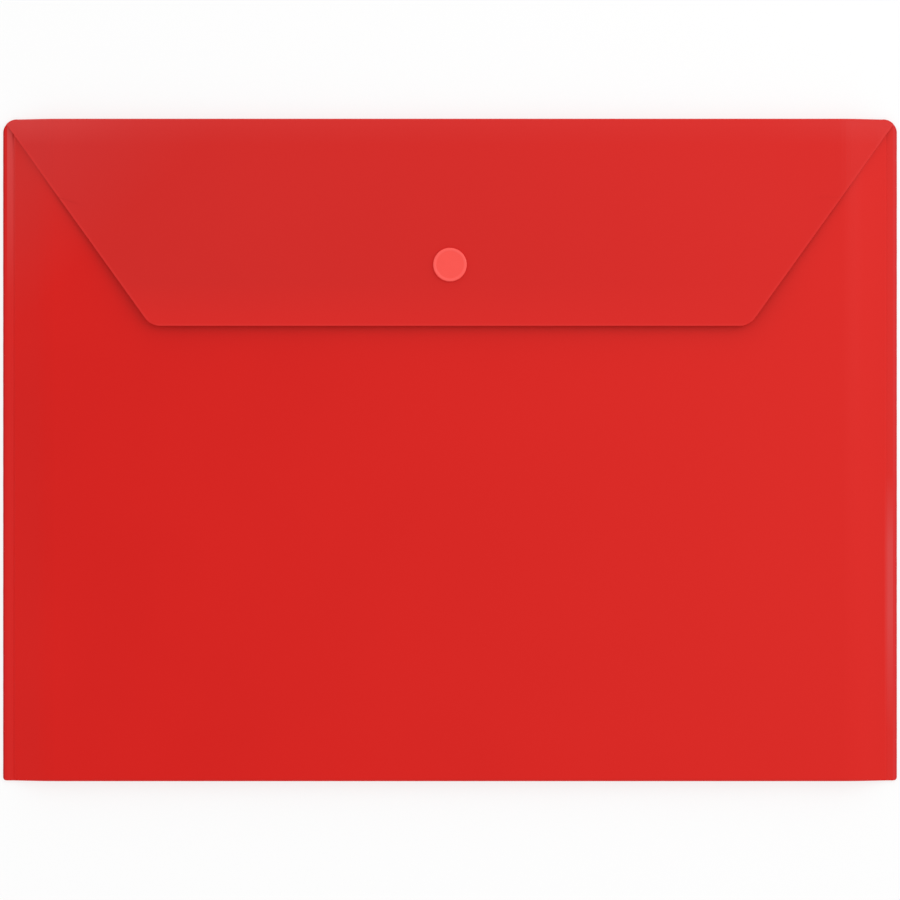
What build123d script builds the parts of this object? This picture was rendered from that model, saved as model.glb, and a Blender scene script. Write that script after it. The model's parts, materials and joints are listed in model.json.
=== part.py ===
from build123d import *
import math
import os

# Document wallet: one folded, side-welded polypropylene sheet with a closing flap and a press stud.
# It lies on its back: X runs across it, Y runs up it to the fold of the flap, Z points out of its front.
# The origin is the middle of the face that it lies on. All sizes are in millimetres.

# Sheet and pocket
wallet_width = 330.0
wallet_height = 244.0
sheet = 0.5
pocket_gap = 5.2  # clear depth between the back and the front
top_corner_radius = 5.2
bottom_corner_radius = 1.2
bottom_crease_radius = 1.2  # outside, along both edges of the bottom strip
mouth_setback = 7.0  # from the top of the wallet down to the mouth of the pocket

# Side welds and sloping borders
bead_width = 1.5
bead_edge_radius = 0.35
band_width = 2.5
slope_run = 12.6  # from the weld band to where the slope would meet the level of the front
shoulder_radius = 22.0  # outside, where the slope bends over into the front

# Flap and its two score lines
flap_depth = 76.4
flap_tip_width = 220.0  # between the corners of the straight edge, before they are rounded
flap_corner_radius = 7.0
spine_height = 6.35  # between the two score lines
crease_clearance = 0.05

# Press stud
stud_from_top = 53.9
stud_land = 8.0  # level part of the flap, from the middle of the stud towards the score line
cap_diameter = 12.4
cap_height = 1.2
cap_edge_radius = 0.5
cap_rim_width = 1.1
cap_dish_depth = 0.15
back_cap_height = 0.9
back_cap_edge_radius = 0.4
prong_diameter = 2.2
prong_clearance = 0.05
rivet_diameter = 3.0
rivet_height = 0.35
socket_flange_diameter = 10.4
socket_flange_height = 0.6
socket_barrel_diameter = 7.4
socket_height = 1.75
socket_lip_height = 0.4
socket_lip_depth = 0.2
socket_lip_slope = 0.2
post_flange_diameter = 10.4
post_flange_height = 0.6
post_web = 0.5
post_bore_diameter = 3.4
post_neck_diameter = 4.5
post_bulb_diameter = 4.8
post_bulb_height = 0.25
post_bulb_slope = 0.15
post_lead = 0.25
post_top_clearance = 0.15
seat_clearance = 0.05  # between the stud's two halves when it is shut
snap_clearance = 0.1  # between the post's bulb and the socket's lip, all round

# Places in the plan
half_width = wallet_width / 2
top = wallet_height / 2
bottom = -wallet_height / 2
bottom_bend = bottom + bottom_crease_radius
mouth = top - mouth_setback
bead_inside = half_width - bead_width
band_inside = bead_inside - band_width
slope_top = band_inside - slope_run
crease_y = top - sheet / 2
crease_end = crease_y - sheet / 2 - crease_clearance
spine_half_length = half_width - top_corner_radius
stud_y = top - stud_from_top

# Heights
weld_top = 2 * sheet
front_inside = sheet + pocket_gap
front_outside = front_inside + sheet
post_flange_top = front_outside + post_flange_height
socket_bottom = post_flange_top + seat_clearance
flap_inside = socket_bottom + socket_height
flap_outside = flap_inside + sheet
cap_top = flap_outside + cap_height
flap_level = flap_inside + sheet / 2
lower_crease_height = sheet / 2
upper_crease_height = lower_crease_height + spine_height

# Slope and shoulder of the side borders
slope_angle = math.atan2(front_outside - weld_top, slope_run)
shoulder_start = slope_top - shoulder_radius * math.tan(slope_angle / 2)
shoulder_centre_height = front_outside - shoulder_radius

# Bend of the flap, from its level part down to the upper score line
flap_bend = stud_y + stud_land
flap_root_angle = 2 * math.atan2(flap_level - upper_crease_height, crease_y - flap_bend)


def block(x_limits, y_limits, z_limits):
    """A box between its low and high limits on each axis."""
    limits = (x_limits, y_limits, z_limits)
    size = [high - low for low, high in limits]
    middle = [(low + high) / 2 for low, high in limits]
    return Pos(*middle) * Box(*size)


def wallet_plan():
    """Plan of the shut wallet: round top corners and almost square bottom corners."""
    plan = Rectangle(wallet_width, wallet_height)
    plan = fillet(plan.vertices().group_by(Axis.Y)[-1], top_corner_radius)
    return fillet(plan.vertices().group_by(Axis.Y)[0], bottom_corner_radius)


def plate(plan, low, high):
    """A flat piece of sheet with this plan, between two heights."""
    return extrude(Pos(0, 0, low) * plan, amount=high - low)


def turned(profile):
    """A part of the stud, turned about the stud's axis from points of radius and height."""
    section = make_face(Polyline(*profile, close=True))
    return Pos(0, stud_y, 0) * revolve(Plane.XZ * section, axis=Axis.Z)


def prong_hole(low, high):
    """The hole that a prong passes through, between two heights."""
    radius = prong_diameter / 2 + prong_clearance
    return Pos(0, stud_y, (low + high) / 2) * Cylinder(radius, high - low)


def pocket_volume(inset):
    """The pocket as a full body, inset all round from the wallet's outer skin."""
    ceiling = front_outside - inset
    ridge = slope_top - inset * math.tan(slope_angle / 2)
    foot = ridge + ceiling / math.tan(slope_angle)
    corners = ((-ridge, ceiling), (ridge, ceiling), (foot, 0), (-foot, 0))
    across = make_face(Polyline(*corners, close=True))
    across = fillet(across.vertices().group_by(Axis.Y)[-1], shoulder_radius - inset)
    start = bottom + inset
    corners = ((start, inset), (mouth, inset), (mouth, ceiling), (start, ceiling))
    lengthwise = make_face(Polyline(*corners, close=True))
    lengthwise = fillet(lengthwise.vertices().group_by(Axis.X)[0], bottom_crease_radius - inset)
    sloped = extrude(Plane.XZ * across, amount=wallet_height, both=True)
    creased = extrude(Plane.YZ * lengthwise, amount=wallet_width, both=True)
    return sloped & creased


def pocket_skin():
    """The folded sheet round the pocket, open at the mouth."""
    return pocket_volume(0) - pocket_volume(sheet)


def back_panel():
    """The flat back, up to the lower score line, between the weld beads."""
    panel = plate(wallet_plan(), 0, sheet)
    panel &= block((-half_width, half_width), (bottom_bend, crease_end), (0, sheet))
    for inner, outer in ((bead_inside, half_width), (-half_width, -bead_inside)):
        panel -= block((inner, outer), (bottom, mouth), (0, sheet))
    return panel


def front_panel(skin):
    """The flat part of the front, with the hole for the stud's prong."""
    flat = (-shoulder_start, shoulder_start)
    panel = skin & block(flat, (bottom_bend, mouth), (front_inside, front_outside))
    return panel - prong_hole(front_inside, front_outside)


def beyond_shoulder():
    """All the space outside the line where the right shoulder runs into its slope."""
    reach = wallet_width
    space = block((0, reach), (-reach, reach), (-reach, reach))
    return Pos(shoulder_start, 0, shoulder_centre_height) * Rot(0, math.degrees(slope_angle), 0) * space


def side_shoulder(skin):
    """The bend from the front into the slope, on the right side."""
    border = skin & block((shoulder_start, half_width), (bottom_bend, mouth), (sheet, front_outside))
    return border - beyond_shoulder()


def side_slope(skin):
    """The slope from the shoulder down to the weld band, on the right side."""
    border = skin & block((shoulder_start, band_inside), (bottom_bend, mouth), (sheet, front_outside))
    return border & beyond_shoulder()


def weld_band():
    """The strip of the front that lies flat on the back and is welded to it, on the right side."""
    return block((band_inside, bead_inside), (bottom_bend, mouth), (sheet, weld_top))


def weld_bead():
    """The bead along the right side, where both layers of the sheet are melted together."""
    bead = block((bead_inside, half_width), (bottom, mouth), (0, weld_top))
    outer_face = bead.faces().sort_by(Axis.X)[-1]
    bead = fillet(outer_face.edges().filter_by(Axis.Y), bead_edge_radius)
    return bead & plate(wallet_plan(), 0, weld_top)


def bottom_strip(skin):
    """The strip between the two bottom creases, pinched flat at both ends where the welds cross it."""
    strip = skin & block((-half_width, half_width), (bottom, bottom_bend), (0, front_outside))
    for inner, outer in ((band_inside, bead_inside), (-bead_inside, -band_inside)):
        strip += block((inner, outer), (bottom, bottom_bend), (0, weld_top))
    return strip


def spine():
    """The strip between the two score lines, round along both of its folding edges."""
    length = upper_crease_height - lower_crease_height
    middle = (crease_y, (lower_crease_height + upper_crease_height) / 2)
    section = Pos(*middle) * SlotCenterToCenter(length, sheet, rotation=90)
    return extrude(Plane.YZ * section, amount=spine_half_length, both=True)


def flap_plan():
    """Plan of the flap: the wallet's full width at the top, narrowing to its straight edge."""
    tip = top - flap_depth
    half_tip = flap_tip_width / 2
    corners = ((-half_width, top), (half_width, top), (half_tip, tip), (-half_tip, tip))
    plan = make_face(Polyline(*corners, close=True))
    plan = fillet(plan.vertices().group_by(Axis.Y)[0], flap_corner_radius)
    return plan & wallet_plan()


def flap():
    """The closing flap: level round the stud, and bent gently down to the upper score line."""
    level_part = Line((top - flap_depth, flap_level), (flap_bend, flap_level))
    bend = TangentArc((flap_bend, flap_level), (crease_y, upper_crease_height), tangent=(1, 0))
    section = trace([level_part, bend], sheet)
    leaf = extrude(Plane.YZ * section, amount=half_width, both=True)
    root = block((-half_width, half_width), (-sheet / 2 - crease_clearance, sheet), (-sheet, sheet))
    leaf -= Pos(0, crease_y, upper_crease_height) * Rot(-math.degrees(flap_root_angle), 0, 0) * root
    leaf &= plate(flap_plan(), 0, cap_top)
    return leaf - prong_hole(flap_inside, flap_outside)


def stud_cap():
    """The cap on the flap, with a raised rim, and its prong riveted over inside the socket."""
    rim = cap_diameter / 2
    dish = rim - cap_rim_width
    prong = prong_diameter / 2
    rivet = rivet_diameter / 2
    rivet_top = flap_inside - socket_flange_height
    rivet_bottom = rivet_top - rivet_height
    cap = turned(
        [
            (0, rivet_bottom),
            (rivet, rivet_bottom),
            (rivet, rivet_top),
            (prong, rivet_top),
            (prong, flap_outside),
            (rim, flap_outside),
            (rim, cap_top),
            (dish + cap_dish_depth, cap_top),
            (dish, cap_top - cap_dish_depth),
            (0, cap_top - cap_dish_depth),
        ]
    )
    outer_edges = cap.edges().filter_by(GeomType.CIRCLE).group_by(SortBy.RADIUS)[-1]
    return fillet(outer_edges.sort_by(Axis.Z)[-1], cap_edge_radius)


def stud_socket():
    """The socket under the flap, with a lip that the post's bulb passes."""
    hole = prong_diameter / 2 + prong_clearance
    flange = socket_flange_diameter / 2
    barrel = socket_barrel_diameter / 2
    lip = post_bulb_diameter / 2 + snap_clearance
    cavity = lip + socket_lip_depth
    lip_top = socket_bottom + socket_lip_height
    ceiling = flap_inside - socket_flange_height
    return turned(
        [
            (hole, flap_inside),
            (flange, flap_inside),
            (flange, ceiling),
            (barrel, ceiling),
            (barrel, socket_bottom),
            (lip, socket_bottom),
            (lip, lip_top),
            (cavity, lip_top + socket_lip_slope),
            (cavity, ceiling),
            (hole, ceiling),
        ]
    )


def stud_post():
    """The post on the front: a flange with a hollow, bulbed post for the socket."""
    hole = prong_diameter / 2 + prong_clearance
    flange = post_flange_diameter / 2
    bore = post_bore_diameter / 2
    neck = post_neck_diameter / 2
    bulb = post_bulb_diameter / 2
    web_top = front_outside + post_web
    post_top = flap_inside - socket_flange_height - post_top_clearance
    bulb_top = post_top - post_lead
    bulb_bottom = bulb_top - post_bulb_height
    return turned(
        [
            (hole, front_outside),
            (flange, front_outside),
            (flange, post_flange_top),
            (neck, post_flange_top),
            (neck, bulb_bottom - post_bulb_slope),
            (bulb, bulb_bottom),
            (bulb, bulb_top),
            (neck, post_top),
            (bore, post_top),
            (bore, web_top),
            (hole, web_top),
        ]
    )


def stud_back_cap():
    """The cap inside the pocket, with its prong riveted over in the hollow of the post."""
    rim = cap_diameter / 2
    prong = prong_diameter / 2
    rivet = rivet_diameter / 2
    cap_bottom = front_inside - back_cap_height
    rivet_bottom = front_outside + post_web
    cap = turned(
        [
            (0, cap_bottom),
            (rim, cap_bottom),
            (rim, front_inside),
            (prong, front_inside),
            (prong, rivet_bottom),
            (rivet, rivet_bottom),
            (rivet, rivet_bottom + rivet_height),
            (0, rivet_bottom + rivet_height),
        ]
    )
    outer_edges = cap.edges().filter_by(GeomType.CIRCLE).group_by(SortBy.RADIUS)[-1]
    return fillet(outer_edges.sort_by(Axis.Z)[0], back_cap_edge_radius)


# Make every piece and write it out
skin = pocket_skin()
pieces = {
    "back_panel": back_panel(),
    "front_panel": front_panel(skin),
    "bottom_strip": bottom_strip(skin),
    "spine": spine(),
    "flap": flap(),
    "stud_cap": stud_cap(),
    "stud_socket": stud_socket(),
    "stud_post": stud_post(),
    "stud_back_cap": stud_back_cap(),
}
borders = {
    "side_shoulder": side_shoulder(skin),
    "side_slope": side_slope(skin),
    "weld_band": weld_band(),
    "weld_bead": weld_bead(),
}
for name, piece in borders.items():
    pieces[f"right_{name}"] = piece
    pieces[f"left_{name}"] = mirror(piece, about=Plane.YZ)

os.makedirs("parts", exist_ok=True)
for name, piece in pieces.items():
    export_step(piece, f"parts/{name}.step")
    print(name, "volume", round(piece.volume, 2))
print("creases at height", lower_crease_height, "and", round(upper_crease_height, 3), "and y", crease_y)
print("flap leaves the score line at", round(math.degrees(flap_root_angle), 2), "degrees")
print("slope of the borders", round(math.degrees(slope_angle), 2), "degrees")
print("width of the flat front", round(2 * shoulder_start, 1))
print("room below the back cap", round(front_inside - back_cap_height - sheet, 3))
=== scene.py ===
# %% [markdown]
# # A red document wallet with a press stud
# The wallet is one sheet of satin polypropylene: folded at the bottom, welded down both sides, and
# scored twice at the top so that its flap closes over the front. A two-part press stud holds it shut.
# The rigid model comes first as a fixed frame, and everything here is dressed over it, in metres.

# %% Load the frame
import json
import math

import bmesh
import bpy
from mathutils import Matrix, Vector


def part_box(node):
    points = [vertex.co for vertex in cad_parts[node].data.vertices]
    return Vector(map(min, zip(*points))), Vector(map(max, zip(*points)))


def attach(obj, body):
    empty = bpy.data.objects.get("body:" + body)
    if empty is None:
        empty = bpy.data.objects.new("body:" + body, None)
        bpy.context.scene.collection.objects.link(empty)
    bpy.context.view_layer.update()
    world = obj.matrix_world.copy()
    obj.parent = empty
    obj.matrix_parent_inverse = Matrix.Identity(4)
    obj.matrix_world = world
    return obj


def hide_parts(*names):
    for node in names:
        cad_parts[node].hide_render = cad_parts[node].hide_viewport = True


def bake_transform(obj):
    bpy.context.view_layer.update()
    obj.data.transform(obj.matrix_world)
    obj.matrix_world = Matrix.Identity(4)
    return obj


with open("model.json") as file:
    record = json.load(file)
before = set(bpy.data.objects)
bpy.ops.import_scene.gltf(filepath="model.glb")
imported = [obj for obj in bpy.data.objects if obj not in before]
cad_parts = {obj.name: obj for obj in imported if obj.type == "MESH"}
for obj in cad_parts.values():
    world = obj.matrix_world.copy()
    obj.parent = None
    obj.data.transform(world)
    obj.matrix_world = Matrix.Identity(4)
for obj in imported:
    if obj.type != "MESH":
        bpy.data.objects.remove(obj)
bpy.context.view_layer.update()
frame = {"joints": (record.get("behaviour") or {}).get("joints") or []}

MM = 0.001

# %% [markdown]
# ## Sizes that the frame gives
# A sheet that is modelled again has to lie where the rigid one lies. So the widths, heights and fold
# lines are read from the frame's own boxes and joints, and only what they can't tell is written down.
# The dressed spine ends a hair before the rigid one, so that it stays clear of the round corners.

# %% Read the sizes
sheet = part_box("back_panel")[1].z
half_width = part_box("back_panel")[1].x
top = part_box("spine")[1].y
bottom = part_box("bottom_strip")[0].y
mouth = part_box("front_panel")[1].y
front_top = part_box("front_panel")[1].z
flat_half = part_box("front_panel")[1].x
band_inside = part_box("right_weld_band")[0].x
bead_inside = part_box("right_weld_band")[1].x
weld_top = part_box("right_weld_band")[1].z
spine_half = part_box("spine")[1].x
flap_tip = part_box("flap")[0].y
flap_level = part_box("flap")[1].z
creases = {joint["name"]: joint["pos_m"] for joint in frame["joints"]}
upper_crease = creases["upper_crease"][2]
corner_radius = half_width - spine_half
SPINE_INSET = 0.3 * MM
spine_end = spine_half - SPINE_INSET
levels = {"sheet": sheet, "front": front_top, "flap": flap_level}
print("heights in mm", {name: round(level / MM, 2) for name, level in levels.items()})

# %% [markdown]
# ## Picking by place
# Modelling by hand means picking points, edges or faces and then using a tool on them. In a script
# the picking is a question about place: a small function says which ones fit, and the tool follows.

# %% Helpers for picking
NEAR = 0.02 * MM


def near(a, b):
    return abs(a - b) < NEAR


def edit_mesh(mode):
    """The mesh in edit mode with nothing picked, set to pick points, edges or faces."""
    bpy.ops.mesh.select_mode(type=mode)
    bpy.ops.mesh.select_all(action="DESELECT")
    return bmesh.from_edit_mesh(bpy.context.edit_object.data)


def pick_points(fits):
    mesh = edit_mesh("VERT")
    for point in mesh.verts:
        point.select_set(fits(point.co))
    mesh.select_flush(True)
    bmesh.update_edit_mesh(bpy.context.edit_object.data)


def pick_edges(fits):
    mesh = edit_mesh("EDGE")
    for edge in mesh.edges:
        if fits(edge.verts[0].co, edge.verts[1].co):
            edge.select_set(True)
    bmesh.update_edit_mesh(bpy.context.edit_object.data)


# %% [markdown]
# ## Tools with short names
# The same few tools shape every piece, so each gets a short name here: slide, scale about a place and
# extrude. A sheet could be built point by point, but it starts as a primitive plane, as it would by hand.

# %% Helpers for shaping
def slide(x=0, y=0, z=0):
    bpy.ops.transform.translate(value=(x, y, z))


def scale_about(place, x=1, y=1, z=1):
    bpy.ops.transform.resize(value=(x, y, z), center_override=place)


def extrude(x=0, y=0, z=0):
    bpy.ops.mesh.extrude_region_move(TRANSFORM_OT_translate={"value": (x, y, z)})


def start_sheet(name, x_limits, y_limits, height):
    """A flat plane between its limits, left in edit mode."""
    bpy.ops.object.select_all(action="DESELECT")
    bpy.ops.mesh.primitive_plane_add(size=1)
    piece = bpy.context.active_object
    piece.name = name
    bpy.ops.object.mode_set(mode="EDIT")
    scale_about((0, 0, 0), x=x_limits[1] - x_limits[0], y=y_limits[1] - y_limits[0])
    slide(sum(x_limits) / 2, sum(y_limits) / 2, height)
    return piece


# %% [markdown]
# ## The front
# The front is folded up from the bottom and welded to the back at both sides, so it rises over the
# documents like a low pillow: a flat middle, a soft shoulder, a slope, and a narrow band pressed flat
# on the back. It could be drawn as a height map, but folding a flat plane says more about how it is
# made. The bottom edge is extruded down and then back underneath, and both creases are bevelled.

# %% Fold the front at the bottom
CREASE_RADIUS = 1.2 * MM
UNDERLAP = 4 * MM

front = start_sheet("front_sheet", (-bead_inside, bead_inside), (bottom, mouth), front_top)
pick_edges(lambda a, b: near(a.y, bottom) and near(b.y, bottom))
extrude(z=-front_top)
extrude(y=UNDERLAP)
pick_edges(lambda a, b: near(a.y, bottom) and near(b.y, bottom) and near(a.z, b.z))
bpy.ops.mesh.bevel(offset=CREASE_RADIUS, segments=6, affect="EDGES")
print("front folded, crease radius", CREASE_RADIUS / MM)

# %% [markdown]
# The sides need columns and rows of points to bend along. A cut with a plane adds one such line straight
# across a piece and, where it is asked to, drops what lies outside. A fan of these cuts that all touch
# the same arc also trims a corner round. A bevel could do that too, but the same cuts then serve every
# piece that meets at the corner.

# %% Helpers for cutting
TRIM_DEGREES = 7.5
MERGE_DISTANCE = 0.001 * MM


def cut(place, normal, drop_outside=False, close=False):
    bpy.ops.mesh.select_all(action="SELECT")
    bpy.ops.mesh.bisect(
        plane_co=place,
        plane_no=normal,
        clear_outer=drop_outside,
        use_fill=close,
        threshold=MERGE_DISTANCE,
    )


def round_top_corners(close=False):
    """Trims the two top corners of the piece in edit mode round, by cuts that touch the arc."""
    for side in (-1, 1):
        for step in range(1, round(90 / TRIM_DEGREES)):
            turn = math.radians(step * TRIM_DEGREES)
            outward = (side * math.cos(turn), math.sin(turn), 0)
            centre = (side * spine_half, top - corner_radius, 0)
            edge = [c + corner_radius * n for c, n in zip(centre, outward)]
            cut(edge, outward, drop_outside=True, close=close)


def even_steps(low, high, step):
    """Places from low to high, both included, about one step apart."""
    count = max(1, round((high - low) / step))
    return [low + (high - low) * i / count for i in range(count + 1)]


# %% [markdown]
# Now the sides. The plane is cut into columns, close together on the shoulder and at the foot of the
# slope, and each column is scaled down towards the table by its own share. Because the fold at the
# bottom is scaled with it, the pocket closes to a flat, pinched end at both corners. The weld leaves a
# shallow groove along each band, so the column there is set a little lower. Last, the ends of the two
# bands are extruded past the mouth, up to the round corners of the wallet.

# %% Slope the sides of the front
SLOPE_RUN = 12.6 * MM
EAR_WIDTH = 1.0 * MM
EAR_LENGTH = 5.8 * MM
LEFT_GROOVE = 0.18 * MM
RIGHT_GROOVE = 0.02 * MM
GROOVE_REACH = 0.55 * MM
COLUMN_STEP = 12 * MM
SHOULDER_STEP = 1.2 * MM
SLOPE_STEP = 2.5 * MM
ROW_STEP = 9 * MM
slope_angle = math.atan2(front_top - weld_top, SLOPE_RUN)
shoulder_radius = (band_inside - SLOPE_RUN - flat_half) / math.tan(slope_angle / 2)
shoulder_end = flat_half + shoulder_radius * math.sin(slope_angle)


def front_height(x):
    """Height of the front's outer face at this place across it."""
    groove = LEFT_GROOVE if x < 0 else RIGHT_GROOVE
    x = abs(x)
    if near(x, band_inside):
        return weld_top - groove
    if x <= flat_half:
        return front_top
    if x <= shoulder_end:
        return front_top - shoulder_radius + math.sqrt(shoulder_radius**2 - (x - flat_half) ** 2)
    return max(weld_top, weld_top + (band_inside - x) * math.tan(slope_angle))


def beyond(a, b, row, inside):
    """Whether an edge lies along a row, outside this distance from the middle."""
    return near(a.y, row) and near(b.y, row) and min(abs(a.x), abs(b.x)) > inside - NEAR


ear_inside = band_inside - EAR_WIDTH
ear_end = mouth + EAR_LENGTH
right_columns = even_steps(flat_half, shoulder_end, SHOULDER_STEP)
right_columns += even_steps(shoulder_end, band_inside, SLOPE_STEP)[1:]
right_columns += [ear_inside, band_inside - GROOVE_REACH, band_inside + GROOVE_REACH]
for column in even_steps(-flat_half, flat_half, COLUMN_STEP)[1:-1]:
    cut((column, 0, 0), (1, 0, 0))
for column in right_columns:
    cut((column, 0, 0), (1, 0, 0))
    cut((-column, 0, 0), (1, 0, 0))
for row in even_steps(bottom + UNDERLAP, mouth, ROW_STEP)[1:-1]:
    cut((0, row, 0), (0, 1, 0))
for column in right_columns + [bead_inside]:
    for place in (-column, column):
        pick_points(lambda point: near(point.x, place))
        scale_about((0, 0, 0), z=front_height(place) / front_top)
for start, end, inside in ((mouth, ear_end, ear_inside), (ear_end, top, band_inside)):
    pick_edges(lambda a, b: beyond(a, b, start, inside))
    extrude(y=end - start)
round_top_corners()
print("slope of the sides", round(math.degrees(slope_angle), 1), "degrees")

# %% [markdown]
# A sheet this thin is never quite flat. It could be pushed about by hand in sculpt mode. Here a Displace
# modifier with a soft cloud texture lets the middle of the front swell and sink by a few tenths of a
# millimetre, because that can be repeated. A vertex group holds the borders still, and keeps the front
# low under the flap.

# %% Let the front sway
SWAY = 0.5 * MM
SWAY_LENGTH = 110 * MM
HOLD = 30 * MM
SIDE_PLAY = 6 * MM


def apply_modifier(piece, kind, **settings):
    """Adds a modifier with these settings and applies it at once, in object mode."""
    bpy.ops.object.mode_set(mode="OBJECT")
    modifier = piece.modifiers.new(kind.title(), kind)
    for key, value in settings.items():
        setattr(modifier, key, value)
    bpy.ops.object.modifier_apply(modifier=modifier.name)


def displace(piece, free, **settings):
    """Moves the points of a piece, each by the share from 0 to 1 that the function free gives it."""
    bpy.ops.object.mode_set(mode="OBJECT")
    group = piece.vertex_groups.new(name="free")
    for vertex in piece.data.vertices:
        group.add([vertex.index], free(vertex.co), "REPLACE")
    apply_modifier(piece, "DISPLACE", vertex_group=group.name, **settings)
    piece.vertex_groups.clear()


def eased(value, low, high):
    """A share from 0 at low to 1 at high, with a soft start and a soft end."""
    share = min(1, max(0, (value - low) / (high - low)))
    return share * share * (3 - 2 * share)


def front_freedom(place):
    across = eased(flat_half + SIDE_PLAY - abs(place.x), 0, HOLD)
    up = eased(place.y - bottom, 0, HOLD) * eased(flap_tip + HOLD - place.y, 0, HOLD)
    return across * up if place.z > front_top / 2 else 0


sway = bpy.data.textures.new("sheet_sway", "CLOUDS")
sway.noise_scale = SWAY_LENGTH
sway.noise_depth = 0
displace(front, front_freedom, texture=sway, texture_coords="LOCAL", strength=SWAY, mid_level=0.5)
print("front sways by up to", SWAY / 2 / MM, "mm either way")

# %% [markdown]
# Then Solidify gives the sheet its half millimetre. The cut rim at the mouth is rounded a little, because
# a knife never leaves a perfect edge, and a Boolean modifier punches the small hole that the prong of the
# stud goes through. Smooth shading comes last, so that it knows every face.

# %% Give the front its thickness and its hole
RIM_RADIUS = 0.16 * MM
SHARP_TURN = math.radians(60)
PRONG_RADIUS = 1.1 * MM
PRONG_GAP = 0.05 * MM
SIDES = 72
stud_y = sum(corner.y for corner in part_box("stud_cap")) / 2


def give_thickness(piece):
    """Thickens a sheet inwards from its outer face. The cut edges take the piece's second finish."""
    settings = {"thickness": sheet, "offset": -1, "use_even_offset": True}
    apply_modifier(piece, "SOLIDIFY", material_offset_rim=1, **settings)


def pick_sharp_edges(fits):
    mesh = edit_mesh("EDGE")
    for edge in mesh.edges:
        middle = (edge.verts[0].co + edge.verts[1].co) / 2
        if edge.calc_face_angle(0) > SHARP_TURN and fits(middle):
            edge.select_set(True)
    bmesh.update_edit_mesh(bpy.context.edit_object.data)


def round_rim(piece, fits):
    """Rounds the sharp edges of a cut rim that fit."""
    bpy.ops.object.mode_set(mode="EDIT")
    pick_sharp_edges(fits)
    bpy.ops.mesh.bevel(offset=RIM_RADIUS, segments=2, affect="EDGES")
    bpy.ops.object.mode_set(mode="OBJECT")


def punch_hole(piece):
    """Cuts the hole in a sheet that a prong of the stud goes through."""
    bpy.ops.object.select_all(action="DESELECT")
    bpy.ops.mesh.primitive_cylinder_add(
        vertices=SIDES,
        radius=PRONG_RADIUS + PRONG_GAP,
        depth=3 * flap_level,
        location=(0, stud_y, 0),
    )
    punch = bpy.context.active_object
    bpy.context.view_layer.objects.active = piece
    apply_modifier(piece, "BOOLEAN", object=punch, operation="DIFFERENCE", solver="EXACT")
    bpy.data.objects.remove(punch)


def smooth(piece, degrees=34):
    """Smooth shading that keeps the large faces flat and leaves the turning to the narrow ones."""
    bpy.ops.object.mode_set(mode="OBJECT")
    bpy.ops.object.shade_smooth_by_angle(angle=math.radians(degrees))
    apply_modifier(piece, "WEIGHTED_NORMAL", keep_sharp=True)
    print(piece.name, "has", len(piece.data.polygons), "faces")


give_thickness(front)
round_rim(front, lambda place: near(place.y, mouth) and abs(place.x) < ear_inside - GROOVE_REACH)
punch_hole(front)
smooth(front)

# %% [markdown]
# ## The back
# The back lies flat on the table, between the melted beads of the side welds. Its top corners are
# round, and between them the sheet turns up into the narrow spine. It could be one mesh with the flap,
# but each of the two folds bends about a joint of its own, so the sheet is parted on the spine.
# The corners are trimmed with the same cuts as before, the spine is the top edge extruded upwards, and
# the fold is a bevelled edge.

# %% Fold the back
LOWER_FOLD = 0.8 * MM
SPINE_SEAM = 0.9 * MM


def on_fold(a, b):
    """Whether an edge lies along the top, between the ends of the spine."""
    return near(a.y, top) and near(b.y, top) and max(abs(a.x), abs(b.x)) < spine_end + NEAR


back = start_sheet("back_sheet", (-bead_inside, bead_inside), (bottom + UNDERLAP, top), 0)
bpy.ops.mesh.flip_normals()
round_top_corners()
cut((spine_end, 0, 0), (1, 0, 0))
cut((-spine_end, 0, 0), (1, 0, 0))
pick_edges(on_fold)
extrude(z=SPINE_SEAM)
pick_edges(lambda a, b: on_fold(a, b) and near(a.z, 0) and near(b.z, 0))
bpy.ops.mesh.bevel(offset=LOWER_FOLD, segments=6, affect="EDGES")
give_thickness(back)
smooth(back)

# %% [markdown]
# ## The flap
# The flap is a wide trapezoid with a straight closing edge. Its outline could be drawn and filled, but a
# filled outline has no even rows to bend along. So it is one plane: the tip is scaled narrower, its
# corners are bevelled, and the top corners are trimmed round by a few cuts. Then it is cut into rows and
# columns, which lie closer together where it will bend.

# %% Cut the flap
FLAP_TIP_HALF = 110 * MM
FLAP_CORNER_RADIUS = 6.5 * MM
STUD_LAND = 8 * MM
CURL_LENGTH = 8 * MM
DROOP_START = 144 * MM
DROOP_STEP = 1.8 * MM
BEND_STEP = 4 * MM
CURL_STEP = 1 * MM
TIP_LIFT = 0.25 * MM
bend_start = stud_y + STUD_LAND

flap = start_sheet("flap_sheet", (-half_width, half_width), (flap_tip, top), flap_level + TIP_LIFT)
pick_points(lambda point: near(point.y, flap_tip))
scale_about((0, 0, 0), x=FLAP_TIP_HALF / half_width)
tip_turn = math.atan2(top - flap_tip, half_width - FLAP_TIP_HALF)
bpy.ops.mesh.bevel(offset=FLAP_CORNER_RADIUS * math.tan(tip_turn / 2), segments=8, affect="VERTICES")
round_top_corners()
curl_start = top - CURL_LENGTH
rows = even_steps(flap_tip, bend_start, ROW_STEP)
rows += even_steps(bend_start, curl_start, BEND_STEP)[1:]
rows += even_steps(curl_start, top, CURL_STEP)[1:]
columns = even_steps(0, DROOP_START, COLUMN_STEP)
columns += even_steps(DROOP_START, spine_end, DROOP_STEP)[1:]
for row in rows[1:-1]:
    cut((0, row, 0), (0, 1, 0))
for column in columns:
    cut((column, 0, 0), (1, 0, 0))
    cut((-column, 0, 0), (1, 0, 0))
print("flap cut into", len(rows) - 1, "rows and", 2 * len(columns), "columns")

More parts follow.
